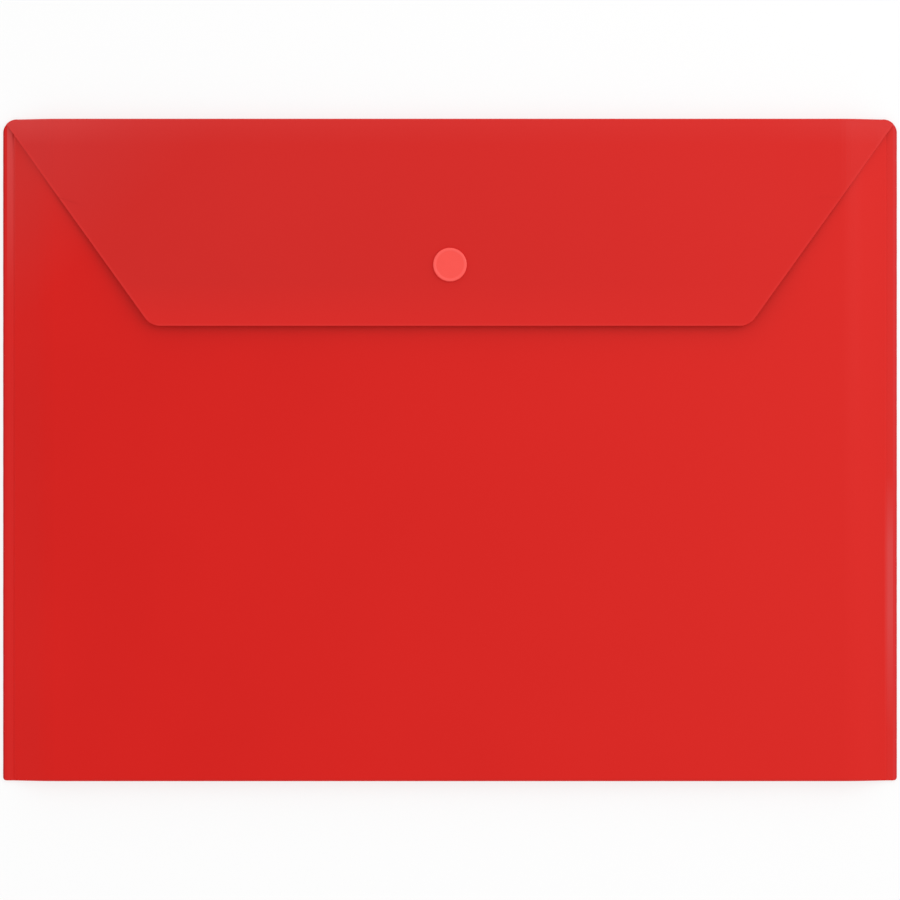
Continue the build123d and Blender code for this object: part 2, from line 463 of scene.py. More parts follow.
# %% [markdown]
# The stud holds the flap up in the middle while the fold holds it down, and at both ends of the fold
# the wallet is pinched flat, so the corners come down until they lie just above it. Away from the stud
# the thin sheet sags a little towards the front, and its closing edge lifts by a hair, which is why a
# thin shadow lies under it. A Displace modifier without a texture pulls every point straight down, by
# the share that a vertex group gives it. Then the spine is the top edge extruded and scaled flat on its
# seam, and the fold is a bevelled edge again.

# %% Bend the flap and fold its spine
ROOT_CURL = 0.6 * MM
CORNER_DROOP = 5.5 * MM
CORNER_GAP = 0.1 * MM
DROOP_END = 166 * MM
LIFT_NEAR_STUD = 15.4 * MM
LIFT_AT_SIDES = 33 * MM
LIFT_FROM = 30 * MM
LIFT_TO = 90 * MM
SIDE_SAG = 1.5 * MM
SAG_FROM = 70 * MM
SAG_TO = 140 * MM
SAG_RISE = 55 * MM
UPPER_FOLD = 0.8 * MM
fold_drop = flap_level - (upper_crease + sheet / 2)
lowest_drop = flap_level + TIP_LIFT - (weld_top + CORNER_GAP + sheet)


def flap_drop(place):
    """How far the flap lies below its lifted tip: level at the stud, bent, curled, drooped, sagged."""
    across = abs(place.x)
    up = place.y - flap_tip
    bend = (max(0, place.y - bend_start) / (top - bend_start)) ** 2
    curl = (max(0, place.y - curl_start) / CURL_LENGTH) ** 2
    corner = eased(across, DROOP_START, DROOP_END)
    lift_length = LIFT_NEAR_STUD + (LIFT_AT_SIDES - LIFT_NEAR_STUD) * eased(across, LIFT_FROM, LIFT_TO)
    tip = eased(lift_length - up, 0, lift_length)
    side = eased(across, SAG_FROM, SAG_TO) * eased(up, 0, SAG_RISE)
    held = fold_drop * bend + ROOT_CURL * curl + CORNER_DROOP * corner
    loose = TIP_LIFT * (1 - tip) + SIDE_SAG * side * (1 - bend) * (1 - corner)
    return min(held + loose, lowest_drop)


def flap_freedom(place):
    return flap_drop(place) / lowest_drop


displace(flap, flap_freedom, direction="Z", strength=-lowest_drop, mid_level=0)
bpy.ops.object.mode_set(mode="EDIT")
pick_edges(on_fold)
extrude()
scale_about((0, 0, SPINE_SEAM), z=0)
pick_edges(lambda a, b: on_fold(a, b) and min(a.z, b.z) > SPINE_SEAM + NEAR)
bpy.ops.mesh.bevel(offset=UPPER_FOLD, segments=6, affect="EDGES")
give_thickness(flap)
round_rim(flap, lambda place: place.y < top - corner_radius)
punch_hole(flap)
smooth(flap)
print("corners of the flap lie", round(lowest_drop / MM, 2), "mm below its tip")

# %% [markdown]
# ## The melted edges
# A hot bar welds each side and cuts it at the same time, and the plastic that it squeezes out sets as
# a narrow bead, a little uneven along its length. A curve with a round profile could give that, but not
# the flat side against the sheet. So it starts as a cube, its corners are bevelled, and a fine cloud
# texture makes its outer side slightly lumpy.

# %% Melt the side edges
BEAD_BOTTOM_RADIUS = 1.2 * MM
BEAD_EDGE_RADIUS = 0.35 * MM
BEAD_ROW_STEP = 1.6 * MM
BEAD_FOOT = 0.1 * MM
LUMP_START = 2 * MM
LUMP_HEIGHT = 0.08 * MM
LUMP_LENGTH = 5 * MM
LUMP_LEVEL = 0.75

lumps = bpy.data.textures.new("melt_lumps", "CLOUDS")
lumps.noise_scale = LUMP_LENGTH
lumps.noise_depth = 1


def bead_freedom(place):
    return 1 if place.z > BEAD_FOOT and abs(place.x) > bead_inside + NEAR else 0


def on_bead_rim(place):
    """Whether an edge turns into the bead's top or foot, and not into the sheet beside it."""
    outside = abs(place.x) > bead_inside + NEAR and place.y < top - NEAR
    return outside and not near(place.z, weld_top / 2)


def melt_side(name, side):
    """The bead along one side of the wallet, 1 for the right and -1 for the left."""
    bpy.ops.object.select_all(action="DESELECT")
    bpy.ops.mesh.primitive_cube_add(size=1)
    piece = bpy.context.active_object
    piece.name = name
    outside = side * half_width

    def on_bottom_corner(*ends):
        return all(near(end.x, outside) and near(end.y, bottom) for end in ends)

    bpy.ops.object.mode_set(mode="EDIT")
    scale_about((0, 0, 0), x=half_width - bead_inside, y=top - bottom, z=weld_top)
    slide(side * (half_width + bead_inside) / 2, (top + bottom) / 2, weld_top / 2)
    pick_edges(on_bottom_corner)
    bpy.ops.mesh.bevel(offset=BEAD_BOTTOM_RADIUS, segments=5, affect="EDGES")
    pick_sharp_edges(on_bead_rim)
    bpy.ops.mesh.bevel(offset=BEAD_EDGE_RADIUS, segments=4, affect="EDGES")
    round_top_corners(close=True)
    for row in even_steps(bottom + LUMP_START, mouth, BEAD_ROW_STEP):
        cut((0, row, 0), (0, 1, 0))
    settings = {"texture": lumps, "texture_coords": "LOCAL", "mid_level": LUMP_LEVEL}
    displace(piece, bead_freedom, strength=LUMP_HEIGHT, **settings)
    smooth(piece, degrees=60)
    return piece


beads = {side: melt_side(f"{side}_melted_edge", sign) for side, sign in (("left", -1), ("right", 1))}

# %% [markdown]
# ## The press stud
# Four moulded pieces make the stud. Its cap has a prong that goes through the flap and is riveted over
# inside the socket. The post on the front is held the same way by a second cap inside the pocket. All
# four are round, so they could be spun from a profile. Here a disc or a ring is extruded and scaled
# from step to step, as a turner would work along the piece, and the edges are bevelled at the end.

# %% A lathe for the stud's pieces
SOFTENED_TURN = math.radians(35)


def turn_on_lathe(name, rings, soft_edge, hollow=False):
    """A round piece about the stud's axis, from rings of radius and height. Hollow ones close."""
    radius, height = rings[0]
    bpy.ops.object.select_all(action="DESELECT")
    bpy.ops.mesh.primitive_circle_add(
        vertices=SIDES, radius=radius, fill_type="NOTHING" if hollow else "NGON"
    )
    piece = bpy.context.active_object
    piece.name = name
    bpy.ops.object.mode_set(mode="EDIT")
    bpy.ops.mesh.select_all(action="SELECT")
    slide(0, stud_y, height)
    for last, ring in zip(rings, rings[1:] + rings[:1] if hollow else rings[1:]):
        extrude(z=ring[1] - last[1])
        scale_about((0, stud_y, ring[1]), x=ring[0] / last[0], y=ring[0] / last[0])
    bpy.ops.mesh.select_all(action="SELECT")
    bpy.ops.mesh.remove_doubles(threshold=MERGE_DISTANCE)
    bpy.ops.mesh.normals_make_consistent(inside=False)
    settings = {"segments": 3, "limit_method": "ANGLE", "angle_limit": SOFTENED_TURN}
    apply_modifier(piece, "BEVEL", width=soft_edge, **settings)
    return piece


# %% [markdown]
# The cap is the coral disc that shows on the flap, with a round rim and a face that is dished by a hair.
# Its rings run from the rivet inside the socket, up the prong and out to the rim, and a short loop sets
# the steps of the round edge. A bevel could round it too, but then the dish would be rounded as much.

# %% Turn the cap
RIVET_RADIUS = 1.5 * MM
RIVET_HEIGHT = 0.35 * MM
CAP_RIM_WIDTH = 1.1 * MM
CAP_EDGE_RADIUS = 0.45 * MM
CAP_EDGE_STEPS = 5
CAP_SOFT_EDGE = 0.06 * MM
DISH_DEPTH = 0.15 * MM
cap_low, cap_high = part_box("stud_cap")
cap_radius = cap_high.x
dish_radius = cap_radius - CAP_RIM_WIDTH
dish_floor = cap_high.z - DISH_DEPTH
dish_slope = 2 * DISH_DEPTH
rivet_top = cap_low.z + RIVET_HEIGHT
cap_rings = [
    (RIVET_RADIUS, cap_low.z),
    (RIVET_RADIUS, rivet_top),
    (PRONG_RADIUS, rivet_top),
    (PRONG_RADIUS, flap_level),
    (cap_radius, flap_level),
    (cap_radius, cap_high.z - CAP_EDGE_RADIUS),
]
for step in range(1, CAP_EDGE_STEPS + 1):
    turn = math.radians(90 * step / CAP_EDGE_STEPS)
    inset = CAP_EDGE_RADIUS * (1 - math.cos(turn))
    cap_rings.append((cap_radius - inset, cap_high.z - CAP_EDGE_RADIUS * (1 - math.sin(turn))))
cap_rings += [
    (dish_radius + dish_slope, cap_high.z),
    (dish_radius, dish_floor),
    (dish_radius - dish_slope, dish_floor),
]
cap = turn_on_lathe("stud_cap_disc", cap_rings, CAP_SOFT_EDGE)
smooth(cap)

# %% [markdown]
# The socket sits under the flap, with a flange against the sheet and a barrel that takes the post. Its
# mouth narrows to a lip. It is hollow, so its rings go once round the wall and close on the first one.

# %% Turn the socket
FLANGE_HEIGHT = 0.6 * MM
SOCKET_BARREL_RADIUS = 3.7 * MM
SOCKET_LIP_RADIUS = 2.5 * MM
SOCKET_LIP_HEIGHT = 0.4 * MM
SOCKET_LIP_SLOPE = 0.2 * MM
SOCKET_HOLLOW_RADIUS = 2.7 * MM
SOCKET_SOFT_EDGE = 0.08 * MM
socket_low, socket_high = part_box("stud_socket")
lip_top = socket_low.z + SOCKET_LIP_HEIGHT
flange_bottom = socket_high.z - FLANGE_HEIGHT
socket_rings = [
    (PRONG_RADIUS + PRONG_GAP, socket_high.z),
    (socket_high.x, socket_high.z),
    (socket_high.x, flange_bottom),
    (SOCKET_BARREL_RADIUS, flange_bottom),
    (SOCKET_BARREL_RADIUS, socket_low.z),
    (SOCKET_LIP_RADIUS, socket_low.z),
    (SOCKET_LIP_RADIUS, lip_top),
    (SOCKET_HOLLOW_RADIUS, lip_top + SOCKET_LIP_SLOPE),
    (SOCKET_HOLLOW_RADIUS, flange_bottom),
    (PRONG_RADIUS + PRONG_GAP, flange_bottom),
]
socket = turn_on_lathe("stud_socket_ring", socket_rings, SOCKET_SOFT_EDGE, hollow=True)
smooth(socket)

# %% [markdown]
# The post stands on the front, and its neck ends in a slightly wider bulb. On a real stud the bulb snaps
# past the lip of the socket. Here it goes in with a little room, because the rigid model has that room.

# %% Turn the post
POST_NECK_RADIUS = 2.25 * MM
POST_BULB_RADIUS = 2.4 * MM
POST_BORE_RADIUS = 1.7 * MM
POST_WEB = 0.5 * MM
BULB_TOP = 0.25 * MM
BULB_BOTTOM = 0.5 * MM
NECK_TOP = 0.65 * MM
POST_SOFT_EDGE = 0.07 * MM
post_low, post_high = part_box("stud_post")
web_top = post_low.z + POST_WEB
post_rings = [
    (PRONG_RADIUS + PRONG_GAP, post_low.z),
    (post_high.x, post_low.z),
    (post_high.x, post_low.z + FLANGE_HEIGHT),
    (POST_NECK_RADIUS, post_low.z + FLANGE_HEIGHT),
    (POST_NECK_RADIUS, post_high.z - NECK_TOP),
    (POST_BULB_RADIUS, post_high.z - BULB_BOTTOM),
    (POST_BULB_RADIUS, post_high.z - BULB_TOP),
    (POST_NECK_RADIUS, post_high.z),
    (POST_BORE_RADIUS, post_high.z),
    (POST_BORE_RADIUS, web_top),
    (PRONG_RADIUS + PRONG_GAP, web_top),
]
post = turn_on_lathe("stud_post_ring", post_rings, POST_SOFT_EDGE, hollow=True)
smooth(post)

# %% [markdown]
# The second cap lies inside the pocket, and its prong is riveted over in the bore of the post. Papers
# slide past it, so its edge is chamfered and its face is plain.

# %% Turn the cap inside the pocket
BACK_CAP_EDGE = 0.4 * MM
BACK_CAP_SOFT_EDGE = 0.1 * MM
under_low, under_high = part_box("stud_back_cap")
front_inside = front_top - sheet
under_rings = [
    (under_high.x - BACK_CAP_EDGE, under_low.z),
    (under_high.x, under_low.z + BACK_CAP_EDGE),
    (under_high.x, front_inside),
    (PRONG_RADIUS, front_inside),
    (PRONG_RADIUS, web_top),
    (RIVET_RADIUS, web_top),
    (RIVET_RADIUS, under_high.z),
]
under_cap = turn_on_lathe("stud_back_cap_disc", under_rings, BACK_CAP_SOFT_EDGE)
smooth(under_cap)

# %% [markdown]
# ## A place that stays on the sheet
# The sheet bends when the flap opens, and a pattern on plain object coordinates would then slide over
# it. So every point of every piece keeps the place that it has on the shut wallet, as an attribute, and
# the finishes read that.

# %% Keep each point's place on the shut wallet
pieces = [front, back, flap, *beads.values(), cap, socket, post, under_cap]
for piece in pieces:
    kept = piece.data.attributes.new("shut_place", "FLOAT_VECTOR", "POINT")
    for entry, vertex in zip(kept.data, piece.data.vertices):
        entry.vector = vertex.co
print("places kept on", len(pieces), "pieces")

# %% [markdown]
# ## The red sheet
# Satin polypropylene has a soft gloss, a very fine grain from the roller, faint streaks along the way
# it was drawn, and a colour that clouds a little because the plastic isn't quite opaque. Each of these
# is a noise texture of its own scale. The grain goes to bump, the streaks and clouds to roughness and
# colour, and all of them stay faint.

# %% Helpers for finishes
MIX_SHARE = 0
MIX_FIRST_COLOUR = 6
MIX_SECOND_COLOUR = 7
MIX_RESULT_COLOUR = 2


def add_node(tree, kind, inputs=None, **settings):
    """A node with these settings, and with values or other nodes' outputs in its inputs."""
    made = tree.nodes.new(kind)
    for key, value in settings.items():
        setattr(made, key, value)
    for socket_name, value in (inputs or {}).items():
        if isinstance(value, bpy.types.NodeSocket):
            tree.links.new(value, made.inputs[socket_name])
        else:
            made.inputs[socket_name].default_value = value
    return made


def math_node(tree, operation, first, second=0.0, third=0.0):
    inputs = {0: first, 1: second, 2: third}
    return add_node(tree, "ShaderNodeMath", inputs, operation=operation).outputs[0]


def start_finish(name):
    """A new material, its tree, its shader and the place on the shut wallet."""
    material = bpy.data.materials.new(name)
    material.use_nodes = True
    tree = material.node_tree
    place = add_node(tree, "ShaderNodeAttribute", attribute_name="shut_place").outputs["Vector"]
    return material, tree, tree.nodes["Principled BSDF"], place


def noise(tree, place, scale, detail=2.0, stretch=(1, 1, 1)):
    """Noise of so many features to the metre, drawn out along an axis where stretch is below 1."""
    spread = add_node(tree, "ShaderNodeMapping", {"Vector": place, "Scale": stretch}).outputs["Vector"]
    inputs = {"Vector": spread, "Scale": scale, "Detail": detail}
    return add_node(tree, "ShaderNodeTexNoise", inputs).outputs["Fac"]


def ramp(tree, value, low, high, to_low=0.0, to_high=1.0):
    """A value spread from one range to another, without going past either end."""
    inputs = {"Value": value, "From Min": low, "From Max": high, "To Min": to_low, "To Max": to_high}
    return add_node(tree, "ShaderNodeMapRange", inputs).outputs["Result"]


def blend_colours(tree, share, first, second):
    """A colour between two others. A Mix node has a row of inputs for every kind of value it mixes."""
    mixed = add_node(tree, "ShaderNodeMix", data_type="RGBA")
    for index, value in ((MIX_SHARE, share), (MIX_FIRST_COLOUR, first), (MIX_SECOND_COLOUR, second)):
        if isinstance(value, bpy.types.NodeSocket):
            tree.links.new(value, mixed.inputs[index])
        else:
            mixed.inputs[index].default_value = value if index == MIX_SHARE else (*value, 1)
    return mixed.outputs[MIX_RESULT_COLOUR]


# %% The satin of the sheet
GRAIN_SCALE = 2600
STREAK_SCALE = 900
STREAK_STRETCH = (0.02, 1, 1)
CLOUD_SCALE = 16
CLOUD_LOW = 0.35
CLOUD_HIGH = 0.65
SATIN_SPECULAR = 0.2
ROUGHNESS_SPREAD = 0.08
GRAIN_STRENGTH = 0.12
GRAIN_DEPTH = 0.03 * MM


def satin_sheet(name, red, deep_red, roughness, marks=()):
    """The satin red sheet. Each mark is a function for the share of another colour, and that colour."""
    material, tree, shader, place = start_finish(name)
    clouds = ramp(tree, noise(tree, place, CLOUD_SCALE, detail=3), CLOUD_LOW, CLOUD_HIGH)
    streaks = noise(tree, place, STREAK_SCALE, stretch=STREAK_STRETCH)
    grain = noise(tree, place, GRAIN_SCALE, detail=3)
    colour = blend_colours(tree, clouds, red, deep_red)
    for mark, mark_colour in marks:
        colour = blend_colours(tree, mark(tree, place), colour, mark_colour)
    tree.links.new(colour, shader.inputs["Base Color"])
    smoothest = roughness - ROUGHNESS_SPREAD / 2
    satin = math_node(tree, "MULTIPLY_ADD", streaks, ROUGHNESS_SPREAD, smoothest)
    tree.links.new(satin, shader.inputs["Roughness"])
    shader.inputs["Specular IOR Level"].default_value = SATIN_SPECULAR
    bump_inputs = {"Strength": GRAIN_STRENGTH, "Distance": GRAIN_DEPTH, "Height": grain}
    bump = add_node(tree, "ShaderNodeBump", bump_inputs)
    tree.links.new(bump.outputs["Normal"], shader.inputs["Normal"])
    return material


# %% [markdown]
# Some colours here stand in for light. The sheet is painted paler towards its right-hand side as painted
# light, and painted sheen lies towards the pinched upper left corner and on the pressed bands. Each of
# these marks is a share from 0 to 1, worked out from the place on the sheet, and the finish then mixes in
# that much of the mark's own colour. A painted picture could do it too, but the sheets would have to be
# unwrapped for it first, and a formula needs only the place.

# %% Painted light and sheen on the front
# Reach of the painted light towards the right-hand side.
LIGHT_TO_RIGHT_WAY = (1, 0.25, 0)
LIGHT_TO_RIGHT_FROM = -130 * MM
LIGHT_TO_RIGHT_TO = 150 * MM
UPPER_LEFT = (-1, 1, 0)
WELD_BLUR = 0.8 * MM
# Reach of the painted sheen on the pressed bands.
BAND_SHEEN_FROM = half_width + 55 * MM
BAND_SHEEN_TO = half_width + 110 * MM
BAND_SHEEN_LEAST = 0.1
BAND_SHEEN_MOST = 0.75
PATCH_MOST = 0.8
PATCH_SIDE_BLUR = 10 * MM
PATCH_LOWEST = -110 * MM
PATCH_LOW_FULL = -60 * MM
PATCH_HIGH_FULL = -35 * MM
PATCH_HIGHEST = -5 * MM
# Reach of the painted sheen at the upper left corner.
CORNER_SHEEN_FROM = half_width + 40 * MM
CORNER_SHEEN_TO = half_width + 95 * MM


def axes_of(tree, place):
    return add_node(tree, "ShaderNodeSeparateXYZ", {"Vector": place}).outputs


def along(tree, place, way, low, high, to_low=0.0, to_high=1.0):
    """A share that grows along a way across the sheet."""
    inputs = {0: place, 1: way}
    reach = add_node(tree, "ShaderNodeVectorMath", inputs, operation="DOT_PRODUCT").outputs["Value"]
    return ramp(tree, reach, low, high, to_low, to_high)


def painted_light_to_right(tree, place):
    """Painted light: paler towards the right-hand side."""
    return along(tree, place, LIGHT_TO_RIGHT_WAY, LIGHT_TO_RIGHT_FROM, LIGHT_TO_RIGHT_TO)


def painted_band_sheen(tree, place):
    """Painted sheen on the pressed bands beside the front: pale at the upper left and in a patch at the
    lower right.
    """
    across = math_node(tree, "ABSOLUTE", axes_of(tree, place)["X"])
    band = ramp(tree, across, band_inside - WELD_BLUR, band_inside + WELD_BLUR)
    upper_left = along(tree, place, UPPER_LEFT, BAND_SHEEN_FROM, BAND_SHEEN_TO, BAND_SHEEN_LEAST, BAND_SHEEN_MOST)
    right = along(tree, place, (1, 0, 0), 0, PATCH_SIDE_BLUR, 0, PATCH_MOST)
    patch_low = along(tree, place, (0, 1, 0), PATCH_LOWEST, PATCH_LOW_FULL)
    patch_high = along(tree, place, (0, -1, 0), -PATCH_HIGHEST, -PATCH_HIGH_FULL)
    patch = math_node(tree, "MULTIPLY", right, math_node(tree, "MULTIPLY", patch_low, patch_high))
    return math_node(tree, "MULTIPLY", band, math_node(tree, "MAXIMUM", upper_left, patch))


def painted_corner_sheen(tree, place):
    """Painted sheen: greyer towards the upper left corner, where the sheet is pinched hardest."""
    return along(tree, place, UPPER_LEFT, CORNER_SHEEN_FROM, CORNER_SHEEN_TO)


# %% [markdown]
# The flap has marks of its own, all of them painted: a narrow painted highlight along its cut edges,
# painted light on the strip along the closing edge, and painted sheen along the fold, most of all at its
# pinched left end. The melted beads get painted shade along their outermost edge, most of all on the left.

# %% Painted light, sheen and shade on the flap and the beads
# Reach of the painted highlight along the cut edges.
CUT_LINE_FROM = 0.3 * MM
CUT_LINE_TO = 1.1 * MM
CUT_LINE_MOST = 0.5
# Reach of the painted light along the closing edge.
TIP_LIGHT_FULL = 3 * MM
TIP_LIGHT_REACH = 16 * MM
# Reach of the painted sheen along the fold.
FOLD_SHEEN_REACH = 10 * MM
FOLD_SHEEN_FULL = 2 * MM
FOLD_SHEEN_ENDS_FROM = 115 * MM
FOLD_SHEEN_ENDS_TO = 155 * MM
FOLD_SHEEN_MIDDLE = 0.3
FOLD_SHEEN_RIGHT = 0.35
# Reach of the painted shade on the beads' outermost edge.
RIM_SHADE_REACH = 0.75 * MM
RIM_SHADE_FULL = 0.5 * MM
RIM_SHADE_RIGHT = 0.3


def painted_cut_edge_highlight(tree, place):
    """A narrow painted highlight along the closing edge and the two slanted edges of the flap."""
    parts = axes_of(tree, place)
    run = (half_width - FLAP_TIP_HALF) / (top - flap_tip)
    inward = math_node(tree, "SUBTRACT", half_width, math_node(tree, "ABSOLUTE", parts["X"]))
    below = math_node(tree, "MULTIPLY", math_node(tree, "SUBTRACT", top, parts["Y"]), run)
    level = math_node(tree, "SUBTRACT", inward, below)
    slanted = math_node(tree, "MULTIPLY", level, 1 / math.hypot(1, run))
    straight = math_node(tree, "SUBTRACT", parts["Y"], flap_tip)
    nearest = math_node(tree, "MINIMUM", slanted, straight)
    return ramp(tree, nearest, CUT_LINE_FROM, CUT_LINE_TO, CUT_LINE_MOST, 0)


def painted_tip_light(tree, place):
    """Painted light on a strip along the closing edge, strongest at the edge."""
    up = axes_of(tree, place)["Y"]
    return ramp(tree, up, flap_tip + TIP_LIGHT_FULL, flap_tip + TIP_LIGHT_REACH, 1, 0)


def painted_fold_sheen(tree, place):
    """Painted sheen along the fold at the top of the flap, most of all at its pinched left end."""
    parts = axes_of(tree, place)
    fold = ramp(tree, parts["Y"], top - FOLD_SHEEN_REACH, top - FOLD_SHEEN_FULL)
    across = math_node(tree, "ABSOLUTE", parts["X"])
    ends = ramp(tree, across, FOLD_SHEEN_ENDS_FROM, FOLD_SHEEN_ENDS_TO, FOLD_SHEEN_MIDDLE, 1)
    side = along(tree, place, (-1, 0, 0), -half_width, half_width, FOLD_SHEEN_RIGHT, 1)
    return math_node(tree, "MULTIPLY", fold, math_node(tree, "MULTIPLY", ends, side))


def painted_rim_shade(tree, place):
    """Painted shade on the outermost edge of a melted bead, most of all on the left."""
    across = math_node(tree, "ABSOLUTE", axes_of(tree, place)["X"])
    rim = ramp(tree, across, half_width - RIM_SHADE_REACH, half_width - RIM_SHADE_FULL)
    side = along(tree, place, (-1, 0, 0), -half_width, half_width, RIM_SHADE_RIGHT, 1)
    return math_node(tree, "MULTIPLY", rim, side)


# %% [markdown]
# Blender mixes colours as amounts of light, so a strong red holds hardly any green or blue. The flap is a
# slightly greyer red than the front, as painted sheen, and each sheet has a second, deeper red for its
# clouds. The cut edges get a paler finish of their own, as a painted highlight.

# %% The colours of the sheet
FRONT_RED = (0.665, 0.0046, 0.0015)
FRONT_DEEP = (0.647, 0.0040, 0.0011)
# Painted light for the right-hand side of the front.
FRONT_PAINTED_LIGHT = (0.688, 0.0118, 0.0072)
# The flap's reds are greyer than the front's, as painted sheen.
FLAP_SHEENED_RED = (0.618, 0.0138, 0.0100)
FLAP_SHEENED_DEEP = (0.604, 0.0128, 0.0090)
# Painted light for the right-hand side of the flap.
FLAP_PAINTED_LIGHT = (0.662, 0.0118, 0.0080)
# Painted sheen at the upper left corner, for the front and for the flap.
FRONT_CORNER_SHEEN = (0.625, 0.0165, 0.0125)
FLAP_CORNER_SHEEN = (0.612, 0.0200, 0.0175)
# Painted sheen for the pressed bands beside the front.
BAND_SHEEN = (0.690, 0.0580, 0.0560)
# Painted light for the strip along the closing edge.
TIP_PAINTED_LIGHT = (0.672, 0.0132, 0.0092)
# A painted highlight along the cut edges of the flap.
CUT_EDGE_HIGHLIGHT = (0.710, 0.0250, 0.0210)
# Painted sheen along the fold.
FOLD_SHEEN = (0.640, 0.0360, 0.0330)
BEAD_RED = (0.650, 0.0075, 0.0055)
BEAD_DEEP = (0.630, 0.0065, 0.0045)
# Painted light for the right-hand side of the beads.
BEAD_PAINTED_LIGHT = (0.675, 0.0240, 0.0240)
# Painted shade for the outermost edge of the beads.
BEAD_RIM_SHADE = (0.460, 0.0030, 0.0030)
# A paler red for the cut edges, as a painted highlight.
EDGE_HIGHLIGHT_RED = (0.70, 0.028, 0.024)
EDGE_HIGHLIGHT_DEEP = (0.65, 0.020, 0.016)
SHEET_ROUGHNESS = 0.40
BACK_ROUGHNESS = 0.42
EDGE_ROUGHNESS = 0.45
BEAD_ROUGHNESS = 0.30
print("red of the front", FRONT_RED, "and of the flap", FLAP_SHEENED_RED)

# %% The finishes of the sheet
front_painted_marks = ((painted_light_to_right, FRONT_PAINTED_LIGHT), (painted_corner_sheen, FRONT_CORNER_SHEEN), (painted_band_sheen, BAND_SHEEN))
bead_painted_marks = ((painted_light_to_right, BEAD_PAINTED_LIGHT), (painted_rim_shade, BEAD_RIM_SHADE))
flap_painted_marks = (
    (painted_light_to_right, FLAP_PAINTED_LIGHT),
    (painted_corner_sheen, FLAP_CORNER_SHEEN),
    (painted_tip_light, TIP_PAINTED_LIGHT),
    (painted_cut_edge_highlight, CUT_EDGE_HIGHLIGHT),
    (painted_fold_sheen, FOLD_SHEEN),
)
front_finish = satin_sheet("satin_front", FRONT_RED, FRONT_DEEP, SHEET_ROUGHNESS, front_painted_marks)
back_finish = satin_sheet("satin_back", FRONT_RED, FRONT_DEEP, BACK_ROUGHNESS)
flap_finish = satin_sheet("satin_flap", FLAP_SHEENED_RED, FLAP_SHEENED_DEEP, SHEET_ROUGHNESS, flap_painted_marks)
edge_finish = satin_sheet("cut_edge", EDGE_HIGHLIGHT_RED, EDGE_HIGHLIGHT_DEEP, EDGE_ROUGHNESS)
bead_finish = satin_sheet("melted_bead", BEAD_RED, BEAD_DEEP, BEAD_ROUGHNESS, bead_painted_marks)
print("marks: front", len(front_painted_marks), "flap", len(flap_painted_marks), "beads", len(bead_painted_marks))

# %% [markdown]
# ## The coral stud
# The stud is injection moulded from a lighter, slightly see-through plastic, so it glows more than the
# sheet. Its rim is painted a little lighter than the dished face, as a painted highlight.

# %% The moulded plastic of the stud
STUD_CORAL = (0.95, 0.068, 0.052)
STUD_DEEP = (0.92, 0.061, 0.046)
# A lighter coral for the rim, as a painted highlight.
STUD_RIM_HIGHLIGHT = (0.98, 0.088, 0.073)
STUD_RIM_BLUR = 0.15 * MM
STUD_CLOUD_SCALE = 300
STUD_POLISH_SCALE = 1500
POLISH_LOW = 0.3
POLISH_HIGH = 0.7
STUD_GRAIN_SCALE = 2200
STUD_SMOOTHEST = 0.30
STUD_ROUGHEST = 0.42
STUD_GRAIN_STRENGTH = 0.1
STUD_GRAIN_DEPTH = 0.02 * MM


def moulded_stud(name, rim_from):
    """Coral plastic, with a painted highlight outside the radius rim_from."""
    material, tree, shader, place = start_finish(name)
    flat_place = {"Vector": place, "Location": (0, -stud_y, 0), "Scale": (1, 1, 0)}
    centred = add_node(tree, "ShaderNodeMapping", flat_place).outputs["Vector"]
    radius = add_node(tree, "ShaderNodeVectorMath", {0: centred}, operation="LENGTH").outputs["Value"]
    rim = ramp(tree, radius, rim_from - STUD_RIM_BLUR, rim_from + STUD_RIM_BLUR)
    clouds = noise(tree, place, STUD_CLOUD_SCALE, detail=3)
    colour = blend_colours(tree, clouds, STUD_CORAL, STUD_DEEP)
    colour = blend_colours(tree, rim, colour, STUD_RIM_HIGHLIGHT)
    tree.links.new(colour, shader.inputs["Base Color"])
    polish = noise(tree, place, STUD_POLISH_SCALE)
    gloss = ramp(tree, polish, POLISH_LOW, POLISH_HIGH, STUD_SMOOTHEST, STUD_ROUGHEST)
    tree.links.new(gloss, shader.inputs["Roughness"])
    grain = noise(tree, place, STUD_GRAIN_SCALE)
    bump_inputs = {"Strength": STUD_GRAIN_STRENGTH, "Distance": STUD_GRAIN_DEPTH, "Height": grain}
    bump = add_node(tree, "ShaderNodeBump", bump_inputs)
    tree.links.new(bump.outputs["Normal"], shader.inputs["Normal"])
    return material


cap_finish = moulded_stud("moulded_cap", dish_radius)
stud_finish = moulded_stud("moulded_stud", SOCKET_BARREL_RADIUS)
print("stud finishes made,", cap_finish.name, "and", stud_finish.name)

# %% [markdown]
# A mesh has a list of finishes, and each face says which place of the list it takes. Solidify gave the
# faces of the cut edges the second place, so every sheet gets its own satin first and the edge after it.

# %% Put the finishes on
for piece, finish in ((front, front_finish), (back, back_finish), (flap, flap_finish)):
    piece.data.materials.append(finish)
    piece.data.materials.append(edge_finish)
for piece in beads.values():
    piece.data.materials.append(bead_finish)
cap.data.materials.append(cap_finish)
for piece in (socket, post, under_cap):
    piece.data.materials.append(stud_finish)
print("finishes put on", len(pieces), "pieces")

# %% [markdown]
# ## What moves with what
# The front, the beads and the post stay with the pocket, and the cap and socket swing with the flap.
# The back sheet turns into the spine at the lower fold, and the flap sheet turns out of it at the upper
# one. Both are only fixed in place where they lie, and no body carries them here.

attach(front, "pocket")
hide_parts("front_panel", "bottom_strip")
for side, bead in beads.items():
    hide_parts(f"{side}_side_shoulder", f"{side}_side_slope", f"{side}_weld_band")
    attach(bead, "pocket")
    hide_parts(f"{side}_weld_bead")
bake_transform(back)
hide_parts("back_panel", "spine")
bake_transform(flap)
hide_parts("flap", "spine")
